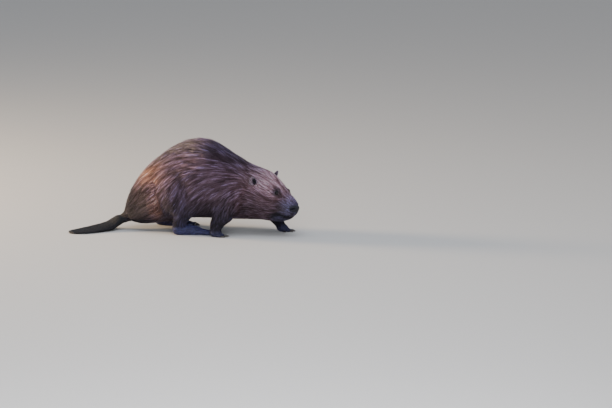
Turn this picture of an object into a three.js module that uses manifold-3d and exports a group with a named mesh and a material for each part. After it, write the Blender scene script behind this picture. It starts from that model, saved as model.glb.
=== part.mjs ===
// A walking beaver at life size, out to the tips of its coat.
// Millimetres: +X runs towards the head, +Y to the animal's left, +Z up, and the floor is Z = 0.
// One long loft makes tail base, rump, trunk, neck and head, which thin cuts part from each other.
// Each thigh and upper arm is the body's own side inside an oval outline, and lower legs come out of it.
import * as THREE from "three";
import { mergeVertices } from "three/addons/utils/BufferGeometryUtils.js";
import Module from "manifold-3d";

const wasm = await Module();
wasm.setup();

// Cuts and fineness
const gap = 0.3; // clearance that parts two touching pieces
const halfGap = gap / 2;
const bodySides = 24; // points round a ring of the body
const ringsPerStation = 2; // rings that the loft makes from one station to the next

// Driving dimensions of the body
const rumpYaw = 16; // degrees that the rump's end turns to the animal's right
const headYaw = 21; // degrees that the head turns to the animal's right
const headPitch = 22; // degrees that the head hangs below level
const earLine = new THREE.Vector3(232, -16, 172); // point midway between the ears
const earHalfSpan = 61; // from the head's middle to the middle of an ear
const earLean = 8; // how far the tip stands out past the middle
const earDrop = 6; // from the ear line down to the middle of an ear
const earHeight = 32;
const earWidth = 24;
const earThickness = 5;
const earCup = 3; // depth of the hollow in front
const eyeRadius = 6;
const eyeForward = 76; // the eye, measured from the ear line
const eyeDrop = 14;
const eyeOut = 29.5; // from the head's middle to the centre of an eye
const noseForward = 144; // nose tip, measured from the ear line
const noseRadii = [12, 15, 12]; // along, across and up
const mouth = { corner: 92, cornerDrop: 84, bend: 104, bendDrop: 68, front: 160, frontDrop: 61, under: 150 };

// Driving dimensions of the tail
const tailRoot = new THREE.Vector3(-196, -8, 0);
const tailLength = 192; // scaly part
const tailHalfWidth = 45;
const tailRootHalfWidth = 26;
const tailRootThickness = 28;
const tailRootLift = 20; // height of the root's underside
const tailTipThickness = 7;
const tailStartYaw = 28; // the tail's heading at its root, from straight back towards the right
const tailEndYaw = 62; // and at its tip

// Driving dimensions of the feet
const hindFootLength = 122; // heel to the end of the middle toe, without its claw
const foreFootLength = 40; // wrist to the end of the middle finger, without its claw
const clawStandOff = 2; // a claw's root stands this far ahead of its toe's slanting end

// Where the limbs stand: joints as x, distance from the middle plane, z, and the toes' turn inwards.
const hindLegs = {
  right: { sign: -1, hip: [-22, 75, 156], knee: [4, 84, 84], heel: [-18, 87, 25], turn: 19 },
  left: { sign: 1, hip: [-66, 73, 150], knee: [-56, 84, 80], heel: [-112, 84, 25], turn: 4 },
};
const foreLegs = {
  right: { sign: -1, shoulder: [148, 64, 124], elbow: [108, 86, 74], wrist: [95, 103, 24], turn: 4 },
  left: { sign: 1, shoulder: [166, 60, 116], elbow: [212, 64, 76], wrist: [268, 38, 26], turn: 8 },
};

const { degToRad: radians, radToDeg: degrees, lerp, smoothstep } = THREE.MathUtils;
const v3 = (x, y, z) => new THREE.Vector3(x, y, z);
const halfway = (a, b) => a.map((value, axis) => (value + b[axis]) / 2);

// Solids and lofts

// Any closed three.js geometry as a manifold-3d solid.
function solidOf(geometry) {
  const bare = geometry.clone();
  bare.deleteAttribute("normal");
  bare.deleteAttribute("uv");
  const merged = mergeVertices(bare, 1e-4);
  return new wasm.Manifold(new wasm.Mesh({
    numProp: 3,
    vertProperties: new Float32Array(merged.attributes.position.array),
    triVerts: new Uint32Array(merged.index.array),
  }));
}

// A solid back as a three.js geometry.
function geometryOf(solid) {
  const mesh = solid.getMesh();
  const geometry = new THREE.BufferGeometry();
  geometry.setAttribute("position", new THREE.BufferAttribute(new Float32Array(mesh.vertProperties), 3));
  geometry.setIndex(new THREE.BufferAttribute(new Uint32Array(mesh.triVerts), 1));
  return geometry;
}

// A closed body through a row of rings of equal count, with a fan over each end and faces outwards.
function loft(rings) {
  const count = rings[0].length;
  const points = rings.flat();
  const index = [];
  for (let r = 0; r + 1 < rings.length; r += 1) {
    for (let i = 0; i < count; i += 1) {
      const a = r * count + i;
      const b = r * count + ((i + 1) % count);
      index.push(a, b, a + count, b, b + count, a + count);
    }
  }
  const middle = (ring) => ring.reduce((sum, p) => sum.add(p), v3(0, 0, 0)).divideScalar(count);
  const first = points.push(middle(rings[0])) - 1;
  const last = points.push(middle(rings[rings.length - 1])) - 1;
  const lastRow = (rings.length - 1) * count;
  for (let i = 0; i < count; i += 1) {
    const j = (i + 1) % count;
    index.push(first, j, i);
    index.push(last, lastRow + i, lastRow + j);
  }
  let volume = 0;
  for (let n = 0; n < index.length; n += 3) {
    volume += points[index[n]].dot(points[index[n + 1]].clone().cross(points[index[n + 2]]));
  }
  const geometry = new THREE.BufferGeometry();
  geometry.setFromPoints(points);
  geometry.setIndex(volume < 0 ? index.reverse() : index);
  return geometry;
}

// One ring: side and up are half-axes, power squares it off, sag lowers its widest level.
function ring({ centre, side, up, power = 2, sag = 0 }, count) {
  const points = [];
  for (let i = 0; i < count; i += 1) {
    const angle = (2 * Math.PI * i) / count;
    const c = Math.cos(angle);
    const s = Math.sin(angle);
    const across = Math.sign(c) * Math.abs(c) ** (2 / power);
    const rise = Math.sign(s) * Math.abs(s) ** (2 / power);
    const level = rise - sag * (1 - rise * rise);
    points.push(centre.clone().addScaledVector(side, across).addScaledVector(up, level));
  }
  return points;
}

// Catmull-Rom value at place t along a row of numbers, t counting the numbers.
function along(values, t) {
  const last = values.length - 1;
  const k = Math.min(Math.floor(t), last - 1);
  const f = t - k;
  const p1 = values[k];
  const p2 = values[k + 1];
  const p0 = k > 0 ? values[k - 1] : 2 * p1 - p2;
  const p3 = k + 2 <= last ? values[k + 2] : 2 * p2 - p1;
  const bend = 2 * p0 - 5 * p1 + 4 * p2 - p3;
  return 0.5 * (2 * p1 + (p2 - p0) * f + bend * f * f + (3 * (p1 - p2) + p3 - p0) * f ** 3);
}

const stop = (point, r) => ({ x: point[0], y: point[1], z: point[2], r });

// A limb through stops, each a point with its radius; flat squeezes it across the given side.
function limb(stops, { sides = 12, steps = 3, flat = 1, side = v3(0, 1, 0), grow = 0 } = {}) {
  const rings = [];
  const total = (stops.length - 1) * steps;
  const place = (t) => v3(...["x", "y", "z"].map((key) => along(stops.map((s) => s[key]), t)));
  const glance = 0.05; // a little way along, to read the heading
  for (let n = 0; n <= total; n += 1) {
    const t = n / steps;
    const ahead = place(Math.min(t + glance, stops.length - 1));
    const heading = ahead.sub(place(Math.max(t - glance, 0))).normalize();
    const radius = along(stops.map((s) => s.r), t) + grow;
    const across = side.clone().addScaledVector(heading, -side.dot(heading)).normalize();
    const upward = heading.clone().cross(across).normalize();
    rings.push(ring({
      centre: place(t),
      side: across.multiplyScalar(radius * flat),
      up: upward.multiplyScalar(radius),
    }, sides));
  }
  return loft(rings);
}

// Body stations

// Directions of a piece that is yawed to the right and pitched down.
function bearing(yaw, pitch) {
  const forward = v3(
    Math.cos(radians(yaw)) * Math.cos(radians(pitch)),
    -Math.sin(radians(yaw)) * Math.cos(radians(pitch)),
    -Math.sin(radians(pitch)),
  );
  const left = v3(Math.sin(radians(yaw)), Math.cos(radians(yaw)), 0);
  return { forward, left, up: forward.clone().cross(left) };
}

const head = bearing(headYaw, headPitch);

// A place on the head, measured from the ear line: forward, to the left and up.
function headPoint(forward, left, up) {
  return earLine.clone()
    .addScaledVector(head.forward, forward)
    .addScaledVector(head.left, left)
    .addScaledVector(head.up, up);
}

function station(name, high, low, side, power, sag) {
  const centre = high.clone().add(low).multiplyScalar(0.5);
  return { name, centre, side, up: high.sub(low).multiplyScalar(0.5), power, sag };
}

// A station of the trunk from its top and bottom, each x and z, in the plane at y, turned by yaw.
function trunkStation(name, top, bottom, y, yaw, halfWidth, power = 2.15, sag = 0.1) {
  const side = v3(Math.sin(radians(yaw)), Math.cos(radians(yaw)), 0).multiplyScalar(halfWidth);
  return station(name, v3(top[0], y, top[1]), v3(bottom[0], y, bottom[1]), side, power, sag);
}

// A station of the head from its top and bottom, each forward and up in the head's own frame.
function headStation(name, top, bottom, halfWidth, power = 2.2, sag = 0.1) {
  const side = head.left.clone().multiplyScalar(halfWidth);
  return station(name, headPoint(top[0], 0, top[1]), headPoint(bottom[0], 0, bottom[1]), side, power, sag);
}

const stations = [
  trunkStation("tail joint", [-207, 46], [-183, 20], -8, -rumpYaw, tailRootHalfWidth, 2, 0),
  trunkStation("tail base", [-202, 70], [-166, 17], -3, -rumpYaw * 0.8, 39, 2.1, 0.05),
  trunkStation("root of tail", [-189, 106], [-140, 16], 2, -rumpYaw * 0.5, 58),
  trunkStation("seat", [-168, 146], [-110, 17], 4, -rumpYaw * 0.3, 77),
  trunkStation("rump", [-135, 190], [-80, 20], 4, 0, 93),
  trunkStation("hips", [-92, 228], [-50, 27], 3, 0, 103, 2.15, 0.14),
  trunkStation("loins", [-36, 266], [-14, 36], 1, 0, 110, 2.15, 0.16),
  trunkStation("back", [26, 285], [30, 38], 0, 0, 113, 2.15, 0.16),
  trunkStation("ribs", [84, 271], [72, 38], 0, 0, 110, 2.15, 0.15),
  trunkStation("withers", [134, 240], [110, 38], -1, 4, 101, 2.15, 0.13),
  trunkStation("shoulder", [172, 216], [140, 39], -4, 8, 90),
  trunkStation("nape", [205, 203], [168, 40], -9, 14, 79),
  headStation("ears", [-3, 24], [14, -136], 69, 2.2, 0.2),
  headStation("cheeks", [28, 20], [46, -121], 64, 2.2, 0.2),
  headStation("brow", [56, 10], [74, -112], 56, 2.2, 0.17),
  headStation("eyes", [82, 0], [98, -101], 47, 2.2, 0.14),
  headStation("bridge", [103, -9], [114, -92], 38, 2.3, 0.1),
  headStation("lips", [121, -18], [127, -82], 32, 2.4, 0.06),
  headStation("snout", [135, -25], [135, -70], 25, 2.4, 0),
  headStation("nose tip", [noseForward, -34], [142, -55], 14, 2.2, 0),
];
const stationAt = (name) => stations.findIndex((entry) => entry.name === name);

// The body's ring at place t of the stations, its half-axes longer by grow.
function bodyRing(t, grow) {
  const read = (key) => v3(...["x", "y", "z"].map((axis) => along(stations.map((s) => s[key][axis]), t)));
  const side = read("side");
  const up = read("up");
  side.setLength(side.length() + grow);
  up.setLength(up.length() + grow);
  const power = along(stations.map((s) => s.power), t);
  const sag = along(stations.map((s) => s.sag), t);
  return ring({ centre: read("centre"), side, up, power, sag }, bodySides);
}

// Moves an end ring square to its own plane, towards the ring next to it.
function pushRing(endRing, next, distance) {
  const normal = v3(0, 0, 0);
  endRing.forEach((point, i) => normal.add(point.clone().cross(endRing[(i + 1) % bodySides])));
  normal.normalize();
  const inward = Math.sign(next[0].clone().sub(endRing[0]).dot(normal));
  endRing.forEach((point) => point.addScaledVector(normal, inward * distance));
}

// The body from one named station to another; inset draws both ends in.
function bodyLength(from, to, { grow = 0, inset = 0 } = {}) {
  const start = stationAt(from);
  const span = stationAt(to) - start;
  const steps = span * ringsPerStation;
  const rings = [];
  for (let n = 0; n <= steps; n += 1) {
    rings.push(bodyRing(start + n / ringsPerStation, grow));
  }
  pushRing(rings[0], rings[1], inset);
  pushRing(rings[steps], rings[steps - 1], inset);
  return solidOf(loft(rings));
}

// Cutting blocks

// Everything below the floor, to cut soles flat with.
function underFloor() {
  const size = 1400;
  const block = new THREE.BoxGeometry(size, size, size);
  block.translate(0, 0, -size / 2);
  return solidOf(block);
}

// The block whose upper face is the mouth line and whose back end is the corner of the mouth.
function jawBlock(grow) {
  const width = 120;
  const outline = new THREE.Shape();
  outline.moveTo(mouth.corner - grow, -mouth.under);
  outline.lineTo(mouth.corner - grow, -mouth.cornerDrop + grow);
  outline.lineTo(mouth.bend, -mouth.bendDrop + grow);
  outline.lineTo(mouth.front, -mouth.frontDrop + grow);
  outline.lineTo(mouth.front, -mouth.under);
  outline.closePath();
  const block = new THREE.ExtrudeGeometry(outline, { depth: width, bevelEnabled: false });
  block.translate(0, 0, -width / 2);
  block.applyMatrix4(new THREE.Matrix4().makeBasis(head.forward, head.up, head.left.clone().negate()));
  block.translate(earLine.x, earLine.y, earLine.z);
  return solidOf(block);
}

// A limb's outline seen from the side, as an oval block that runs outwards from the depth called inner.
function sideBlock(sign, { x, z, long, wide, turn, inner }, grow) {
  const reach = 120;
  const outline = new THREE.Shape();
  outline.absellipse(x, z, long + grow, wide + grow, 0, 2 * Math.PI, false, radians(turn));
  const block = new THREE.ExtrudeGeometry(outline, { depth: reach, bevelEnabled: false, curveSegments: 10 });
  block.rotateX(Math.PI / 2);
  block.translate(0, sign < 0 ? grow - inner : inner - grow + reach, 0);
  return solidOf(block);
}

// The oval of a thigh stands nearly upright over the knee.
function thighOutline({ hip }) {
  return { x: hip[0] + 6, z: 124, long: 84, wide: 66, turn: 104, inner: 46 };
}

// The oval of an upper arm runs from elbow to shoulder.
function armOutline({ shoulder, elbow }) {
  const [x, , z] = halfway(shoulder, elbow);
  const turn = degrees(Math.atan2(shoulder[2] - elbow[2], shoulder[0] - elbow[0]));
  return { x, z: z + 4, long: 66, wide: 44, turn, inner: 44 };
}

// Materials and nodes

const furColour = { color: 0x5d4a40, roughness: 0.9, metalness: 0 };
const faceColour = { color: 0x6a5143, roughness: 0.9, metalness: 0 };
const darkSkin = { color: 0x2c2d36, roughness: 0.6, metalness: 0 };
const tailSkin = { color: 0x26272b, roughness: 0.5, metalness: 0 };
const hornColour = { color: 0x2a241f, roughness: 0.4, metalness: 0 };
const eyeColour = { color: 0x120d0a, roughness: 0.08, metalness: 0 };

const group = new THREE.Group();

function add(name, geometry, colours) {
  const mesh = new THREE.Mesh(geometry, new THREE.MeshStandardMaterial(colours));
  mesh.name = name;
  group.add(mesh);
}

// Trunk and neck

const trunkParts = [
  ["tail_base", "tail joint", "seat"],
  ["rump", "seat", "loins"],
  ["trunk", "loins", "withers"],
  ["shoulders", "withers", "nape"],
  ["neck", "nape", "ears"],
];
const limbCutters = ["right", "left"].flatMap((side) => [
  sideBlock(hindLegs[side].sign, thighOutline(hindLegs[side]), gap),
  sideBlock(foreLegs[side].sign, armOutline(foreLegs[side]), gap),
]);
for (const [name, from, to] of trunkParts) {
  let section = bodyLength(from, to, { inset: halfGap });
  limbCutters.forEach((cutter) => {
    section = section.subtract(cutter);
  });
  add(name, geometryOf(section), furColour);
}

// Head

// A ball squeezed along the head's own directions.
function headBall(centre, radii, grow = 0) {
  const ball = new THREE.SphereGeometry(1, 10, 6);
  ball.scale(radii[0] + grow, radii[1] + grow, radii[2] + grow);
  ball.applyMatrix4(new THREE.Matrix4().makeBasis(head.forward, head.left, head.up));
  ball.translate(centre.x, centre.y, centre.z);
  return ball;
}

const eyeBall = (sign, grow) => {
  return headBall(headPoint(eyeForward, sign * eyeOut, -eyeDrop), [eyeRadius, eyeRadius, eyeRadius], grow);
};
const nosePad = (grow) => headBall(headPoint(noseForward - 9, 0, -38), noseRadii, grow);

// One ear: a cupped oval leaf that leans out and back from the head.
function ear(sign) {
  const root = headPoint(6, sign * (earHalfSpan - earLean), -earDrop - earHeight / 2);
  const tip = headPoint(-1, sign * (earHalfSpan + earLean), -earDrop + earHeight / 2);
  const axis = tip.clone().sub(root);
  const face = head.forward.clone().multiplyScalar(0.45).addScaledVector(head.left, sign * 0.89);
  const broad = axis.clone().cross(face).normalize();
  const thick = broad.clone().cross(axis).normalize();
  const rings = [];
  const steps = 6;
  for (let n = 0; n <= steps; n += 1) {
    const t = n / steps;
    const swell = Math.sqrt(1 - Math.abs((t - 0.4) / 0.62) ** 2.6);
    const hollow = -earCup * Math.sin(Math.PI * t);
    rings.push(ring({
      centre: root.clone().addScaledVector(axis, t).addScaledVector(thick, hollow),
      side: broad.clone().multiplyScalar((earWidth / 2) * swell),
      up: thick.clone().multiplyScalar((earThickness / 2) * (1.2 - 0.5 * t)),
      power: 2.2,
    }, 10));
  }
  return loft(rings);
}

const jawCutter = jawBlock(gap);
const skull = bodyLength("ears", "bridge", { inset: halfGap }).subtract(jawCutter);
const sockets = [-1, 1].map((sign) => solidOf(eyeBall(sign, gap)));
add("head", geometryOf(skull.subtract(sockets[0]).subtract(sockets[1])), faceColour);
const snout = bodyLength("bridge", "nose tip", { inset: halfGap }).subtract(jawCutter);
add("muzzle", geometryOf(snout.subtract(solidOf(nosePad(gap)))), faceColour);
const wholeHead = bodyLength("ears", "nose tip", { inset: halfGap });
add("lower_jaw", geometryOf(wholeHead.intersect(jawBlock(0))), faceColour);
add("nose", nosePad(0), darkSkin);

const bodyCutter = bodyLength("tail joint", "nose tip", { grow: gap });
for (const [side, sign] of [["right", -1], ["left", 1]]) {
  add(`eye_${side}`, eyeBall(sign, 0), eyeColour);
  add(`ear_${side}`, geometryOf(solidOf(ear(sign)).subtract(bodyCutter)), furColour);
}

// Scaly tail

// Heading and place of the tail's middle line at a share of its length.
function tailPlace(share) {
  const pieces = 40;
  const headingAt = (s) => {
    const yaw = radians(lerp(tailStartYaw, tailEndYaw, s));
    return v3(-Math.cos(yaw), -Math.sin(yaw), 0);
  };
  const place = tailRoot.clone();
  for (let n = 0; n < pieces * share; n += 1) {
    place.addScaledVector(headingAt((n + 0.5) / pieces), tailLength / pieces);
  }
  return { place, heading: headingAt(share) };
}

// A paddle: narrow and thick at the root, which leans back from the rump and drops to the floor,
// widest over its second half, and rounded off at the tip.
function tail() {
  const rings = [];
  const steps = 12;
  const roundFrom = 0.62;
  for (let n = 0; n <= steps; n += 1) {
    const share = n / steps;
    const { place, heading } = tailPlace(share);
    const tipShare = Math.max(0, (share - roundFrom) / (1.01 - roundFrom));
    const rounding = Math.sqrt(Math.max(0.05, 1 - tipShare ** 2));
    const halfWidth = lerp(tailRootHalfWidth - 1, tailHalfWidth, smoothstep(share, 0, 0.42)) * rounding;
    const thickness = lerp(tailRootThickness, tailTipThickness, smoothstep(share, 0, 0.75));
    const lift = tailRootLift * (1 - smoothstep(share, 0, 0.33));
    const lean = radians(42) * (1 - smoothstep(share, 0, 0.3));
    const up = v3(0, 0, Math.cos(lean)).addScaledVector(heading, Math.sin(lean));
    rings.push(ring({
      centre: place.setZ(lift + thickness * 0.45),
      side: v3(heading.y, -heading.x, 0).multiplyScalar(halfWidth),
      up: up.multiplyScalar(thickness / 2),
      power: 2.3,
    }, 12));
  }
  return loft(rings);
}

const floorCutter = underFloor();
add("tail", geometryOf(solidOf(tail()).subtract(floorCutter).subtract(bodyCutter)), tailSkin);

// Limbs

// A point moved by (x, out, z), put on the animal's right or left.
const handed = (sign, point, shift, r) => {
  const [x, out, z] = point.map((value, axis) => value + shift[axis]);
  return stop([x, sign * out, z], r);
};

function thigh({ sign, hip, knee }) {
  const stops = [
    handed(sign, hip, [-6, -12, 42], 24),
    handed(sign, hip, [0, 0, 0], 52),
    handed(sign, halfway(hip, knee), [-9, 0, 0], 58),
    handed(sign, knee, [0, 0, 0], 50),
    handed(sign, knee, [14, 2, -26], 30),
  ];
  return solidOf(limb(stops, { sides: 12, steps: 2, flat: 0.62 }));
}

function shank({ sign, knee, heel }, grow) {
  const stops = [
    handed(sign, knee, [2, 0, -6], 36),
    handed(sign, halfway(knee, heel), [0, 0, 0], 28),
    handed(sign, heel, [0, 0, -2], 17),
  ];
  return solidOf(limb(stops, { sides: 12, flat: 0.8, grow }));
}

function upperArm({ sign, shoulder, elbow }) {
  const stops = [
    handed(sign, shoulder, [8, -10, 34], 22),
    handed(sign, shoulder, [0, 0, 0], 48),
    handed(sign, halfway(shoulder, elbow), [0, 0, 0], 42),
    handed(sign, elbow, [4, 0, 0], 33),
  ];
  return solidOf(limb(stops, { sides: 10, steps: 2, flat: 0.72 }));
}

function forearm({ sign, elbow, wrist }, grow) {
  const stops = [
    handed(sign, elbow, [16, -6, -2], 38),
    handed(sign, halfway(elbow, wrist), [8, 0, 0], 28),
    handed(sign, wrist, [3, 0, -8], 16),
  ];
  return solidOf(limb(stops, { sides: 12, flat: 0.85, grow }));
}

// Each foot: a sole by distance ahead of the joint, five toes from the inner to the outer, their claws.
const toeShares = [-1, -0.5, 0, 0.5, 1];
const hindFoot = {
  sole: [
    { ahead: -13, rise: 15, r: 11 },
    { ahead: -6, rise: 16, r: 16 },
    { ahead: 6, rise: 17, r: 18 },
    { ahead: 34, rise: 13, r: 17 },
    { ahead: 62, rise: 8, r: 16 },
    { ahead: 76, rise: 5, r: 10 },
  ],
  toe: { root: 8, tip: 5.2, arch: 9.5 },
  toes: toeShares.map((share) => ({
    knuckle: 56 - 4 * Math.abs(share),
    out: 13 * share,
    reach: hindFootLength - 13 - 16 * Math.abs(share) ** 1.6 - (share < 0 ? 6 : 0),
    spread: 31 * share,
  })),
  web: { root: 52, half: 14, hollow: 0.1, thickness: 3.2, lift: 1.2 },
  claw: { root: 5, length: 14, flat: 1.15 },
};
const foreFoot = {
  sole: [
    { ahead: -8, rise: 13, r: 9 },
    { ahead: 0, rise: 14, r: 13 },
    { ahead: 14, rise: 9, r: 13 },
    { ahead: 23, rise: 5, r: 9 },
  ],
  toe: { root: 5.2, tip: 3.8, arch: 7 },
  toes: toeShares.map((share) => ({
    knuckle: 14 - 3 * Math.abs(share),
    out: 10 * share,
    reach: foreFootLength - 6 - 8 * share ** 2 - (share === -1 ? 8 : 0),
    spread: 17 * share,
  })),
  claw: { root: 3.6, length: 13, flat: 0.8 },
};

// A toe just over the floor, from its knuckle to the root of its claw.
function toe(from, to, { root, tip, arch }) {
  const at = (share, rise) => [lerp(from.x, to.x, share), lerp(from.y, to.y, share), rise];
  const stops = [
    stop(at(0, root * 0.8), root),
    stop(at(0.45, arch), (root + tip) / 2),
    stop(at(1, tip * 0.9), tip * 0.9),
  ];
  return solidOf(limb(stops, { sides: 6, steps: 1, side: v3(from.y - to.y, to.x - from.x, 0).normalize() }));
}

// A claw that goes on from a toe's end, a little arched, its tip at the floor.
function claw(from, to, { root, length, flat }) {
  const heading = to.clone().sub(from).normalize();
  const start = to.clone().addScaledVector(heading, clawStandOff);
  const ahead = (share) => start.clone().addScaledVector(heading, length * share);
  const at = (share, rise) => ahead(share).setZ(root * rise).toArray();
  const stops = [
    stop(at(0, 0.95), root * 0.86),
    stop(at(0.5, 1.05), root * 0.6),
    stop(at(1, 0.45), root * 0.16),
  ];
  return limb(stops, { sides: 6, steps: 1, flat, side: v3(-heading.y, heading.x, 0) });
}

// The web: a thin sheet from the foot's middle out to the toes' ends, drawn in a little at its edge.
function webSheet({ root, half, hollow, thickness, lift }, place, toes) {
  const knuckle = toes[2][0];
  const edge = toes.map(([, to]) => to.clone().lerp(knuckle, hollow));
  const outline = new THREE.Shape([place(root, -half), ...edge, place(root, half)]);
  const sheet = new THREE.ExtrudeGeometry(outline, { depth: thickness, bevelEnabled: false });
  sheet.translate(0, 0, lift);
  return solidOf(sheet);
}

// A foot with its sole flat on the floor; joint is the heel or wrist above it.
function foot({ sign, turn }, joint, shape) {
  const start = v3(joint[0], sign * joint[1], 0);
  const forward = v3(Math.cos(radians(turn)), -sign * Math.sin(radians(turn)), 0);
  const outward = v3(-sign * forward.y, sign * forward.x, 0);
  const place = (ahead, out) => start.clone().addScaledVector(forward, ahead).addScaledVector(outward, out);
  const soleStops = shape.sole.map(({ ahead, rise, r }) => stop(place(ahead, 0).setZ(rise).toArray(), r));
  const toes = shape.toes.map((line) => [place(line.knuckle, line.out), place(line.reach, line.spread)]);
  let solid = solidOf(limb(soleStops, { sides: 10, steps: 1, flat: 1.12, side: outward }));
  toes.forEach(([from, to]) => {
    solid = solid.add(toe(from, to, shape.toe));
  });
  if (shape.web) {
    solid = solid.add(webSheet(shape.web, place, toes));
  }
  return { solid: solid.subtract(floorCutter), toes };
}

// The three lengths of a limb: its upper part is the body's own side inside the outline,
// and each lower one is cut clear of all above it.
const plainTrunk = bodyLength("tail joint", "ears", { inset: halfGap });
const headCutter = bodyLength("ears", "nose tip", { grow: gap, inset: -halfGap });
function addLimb(names, side, leg, { outline, upper, lower, lowerGrown, end, shape }) {
  const cutter = sideBlock(leg.sign, outline, gap);
  const clear = (solid) => solid.subtract(bodyCutter).subtract(cutter);
  const flesh = plainTrunk.add(upper).add(lower).intersect(sideBlock(leg.sign, outline, 0));
  const { solid, toes } = foot(leg, end, shape);
  add(`${names.upper}_${side}`, geometryOf(flesh.subtract(headCutter)), furColour);
  add(`${names.lower}_${side}`, geometryOf(clear(lower)), furColour);
  add(`${names.foot}_foot_${side}`, geometryOf(clear(solid.subtract(lowerGrown))), darkSkin);
  toes.forEach(([from, to], n) => {
    add(`${names.foot}_claw_${side}_${n + 1}`, claw(from, to, shape.claw), hornColour);
  });
}

for (const side of ["right", "left"]) {
  const hind = hindLegs[side];
  addLimb({ upper: "thigh", lower: "shank", foot: "hind" }, side, hind, {
    outline: thighOutline(hind),
    upper: thigh(hind),
    lower: shank(hind, 0),
    lowerGrown: shank(hind, gap),
    end: hind.heel,
    shape: hindFoot,
  });
  const fore = foreLegs[side];
  addLimb({ upper: "upper_arm", lower: "forearm", foot: "fore" }, side, fore, {
    outline: armOutline(fore),
    upper: upperArm(fore),
    lower: forearm(fore, 0),
    lowerGrown: forearm(fore, gap),
    end: fore.wrist,
    shape: foreFoot,
  });
}

// The origin is the middle of the whole box, at floor level.
const box = new THREE.Box3().setFromObject(group);
const middle = box.getCenter(v3(0, 0, 0));
group.position.set(-middle.x, -middle.y, -box.min.z);

export default group;
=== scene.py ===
# A walking beaver at life size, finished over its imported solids: one skin, a coat of mesh tufts,
# scales on the tail, claws, whiskers and eyes. Metres, +X to the head, +Y to its left, +Z up.
import math

import bmesh
import bpy
import numpy as np
from mathutils import Matrix, Vector
from mathutils.bvhtree import BVHTree
from mathutils.kdtree import KDTree


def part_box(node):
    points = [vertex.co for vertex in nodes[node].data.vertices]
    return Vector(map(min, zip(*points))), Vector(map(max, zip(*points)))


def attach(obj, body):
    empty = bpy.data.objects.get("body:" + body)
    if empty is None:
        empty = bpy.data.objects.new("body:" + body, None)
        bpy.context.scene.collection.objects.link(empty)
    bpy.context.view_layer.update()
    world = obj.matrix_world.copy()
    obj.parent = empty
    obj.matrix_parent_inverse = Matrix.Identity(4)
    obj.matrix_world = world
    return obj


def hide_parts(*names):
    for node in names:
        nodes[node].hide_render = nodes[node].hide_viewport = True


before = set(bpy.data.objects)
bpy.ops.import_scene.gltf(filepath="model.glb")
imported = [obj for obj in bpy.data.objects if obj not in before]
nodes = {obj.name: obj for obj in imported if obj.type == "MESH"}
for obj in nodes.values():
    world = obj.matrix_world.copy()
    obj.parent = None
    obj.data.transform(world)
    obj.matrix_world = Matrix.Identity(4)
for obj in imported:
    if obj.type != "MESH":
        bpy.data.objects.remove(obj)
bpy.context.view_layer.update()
dice = np.random.default_rng(41)
mm = 0.001
sides = {"right": -1, "left": 1}
bodyMiddle = Vector((0.0001, 0.0155, 0))  # of the trunk, on the floor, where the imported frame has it


def boxMiddle(name):
    low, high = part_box(name)
    return (low + high) / 2


view = {
    "azimuth": 12,
    "elevation": 9,
    "distance": 15.3,
    "lens": 300,
    "sensor": 36,
    "farthest": 60,
    "aimRight": 0.348,  # from the body's middle on the floor to the middle of the picture
    "aimUp": 0.0786,
}


def bearing(azimuth, elevation):
    a, e = math.radians(azimuth), math.radians(elevation)
    return Vector((math.sin(a) * math.cos(e), -math.cos(a) * math.cos(e), math.sin(e)))


def makeCamera():
    out = bearing(view["azimuth"], view["elevation"])
    right = Vector((0, 0, 1)).cross(out).normalized()
    up = out.cross(right)
    aim = bodyMiddle + right * view["aimRight"] + up * view["aimUp"]
    data = bpy.data.cameras.new("camera")
    data.lens = view["lens"]
    data.sensor_width = view["sensor"]
    data.clip_end = view["farthest"]
    camera = bpy.data.objects.new("camera", data)
    camera.matrix_world = Matrix((right, up, out)).transposed().to_4x4()
    camera.matrix_world.translation = aim + out * view["distance"]
    bpy.context.scene.collection.objects.link(camera)
    bpy.context.scene.camera = camera


light = {
    "key": {"at": (-3.2, 0.3, 0.95), "size": 0.8, "watts": 190, "colour": (1.0, 0.76, 0.5)},
    "sky": {"at": (0.3, -0.8, 3.4), "size": 3.2, "watts": 66, "colour": (0.82, 0.88, 1.0)},
    "front": {"at": (1.0, -3.6, 1.5), "size": 2.4, "watts": 82, "colour": (0.86, 0.9, 1.0)},
}
surround = {"colour": (0.8, 0.85, 0.95), "strength": 0.5}


def makeLights():
    for name, setting in light.items():
        data = bpy.data.lights.new(name, "AREA")
        data.shape = "DISK"
        data.size = setting["size"]
        data.energy = setting["watts"]
        data.color = setting["colour"]
        lamp = bpy.data.objects.new(name, data)
        place = Vector(setting["at"])
        lamp.matrix_world = Matrix.Translation(place) @ place.to_track_quat("Z", "Y").to_matrix().to_4x4()
        bpy.context.scene.collection.objects.link(lamp)
    world = bpy.data.worlds.new("surround")
    world.use_nodes = True
    background = world.node_tree.nodes["Background"]
    background.inputs["Color"].default_value = (*surround["colour"], 1)
    background.inputs["Strength"].default_value = surround["strength"]
    bpy.context.scene.world = world


def sheet(name):
    material = bpy.data.materials.new(name)
    material.use_nodes = True
    tree = material.node_tree
    return material, tree, tree.nodes["Principled BSDF"]


def setInputs(tree, node, inputs):
    # a socket is linked to the input, anything else is its value
    for key, value in inputs.items():
        if isinstance(value, bpy.types.NodeSocket):
            tree.links.new(value, node.inputs[key])
        else:
            node.inputs[key].default_value = value


def addNode(tree, kind, settings=None, **inputs):
    # the first output of a new node, whose inputs go by their names, or by i and their numbers
    node = tree.nodes.new(kind)
    for key, value in (settings or {}).items():
        setattr(node, key, value)
    setInputs(tree, node, {int(key[1:]) if key[1:].isdigit() else key: inputs[key] for key in inputs})
    return node.outputs[0]


def attribute(tree, name, output="Fac"):
    return addNode(tree, "ShaderNodeAttribute", {"attribute_name": name}).node.outputs[output]


def mapped(tree, value, low, high, toLow, toHigh):
    return addNode(tree, "ShaderNodeMapRange", None, i0=value, i1=low, i2=high, i3=toLow, i4=toHigh)


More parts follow.
